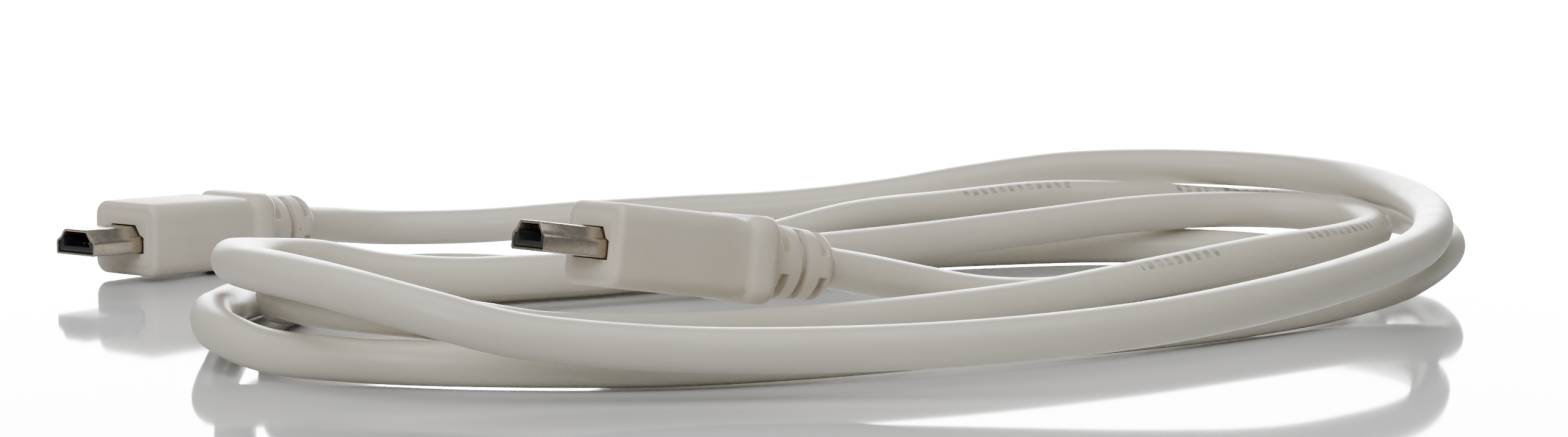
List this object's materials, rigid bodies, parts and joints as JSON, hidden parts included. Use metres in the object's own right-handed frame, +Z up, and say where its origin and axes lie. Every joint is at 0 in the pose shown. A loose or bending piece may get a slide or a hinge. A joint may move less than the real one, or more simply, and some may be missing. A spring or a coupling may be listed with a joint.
{
  "type": "mini usb cable",
  "caption": "Coiled round data lead with a moulded mini plug at each end: metal shell, dark insulator with contacts, block grip and slotted strain relief.",
  "frame": {"origin": "middle of the bounding box's bottom, on the surface the lead lies on", "axes": "+Z up; +X along the long side of the coil, away from plug B; the nearest strands of the coil face -Y"},
  "size_m": [0.1622, 0.1272, 0.0155],
  "materials": {
    "cable_jacket": "soft PVC, slight sheen",
    "grip": "fine grained matte moulding",
    "shell": "nickel plated, satin, lightly scratched",
    "insulator": "satin black moulding",
    "contact": "gold plated"
  },
  "bodies": {
    "root": {"cable": "cable_jacket", "plug_a_grip": "grip", "plug_a_shell": "shell", "plug_a_insulator": "insulator", "plug_a_contact_1": "contact", "plug_a_contact_2": "contact", "plug_a_contact_3": "contact", "plug_a_contact_4": "contact", "plug_a_contact_5": "contact", "plug_b_grip": "grip", "plug_b_shell": "shell", "plug_b_insulator": "insulator", "plug_b_contact_1": "contact", "plug_b_contact_2": "contact", "plug_b_contact_3": "contact", "plug_b_contact_4": "contact", "plug_b_contact_5": "contact"}
  },
  "joints": []
}
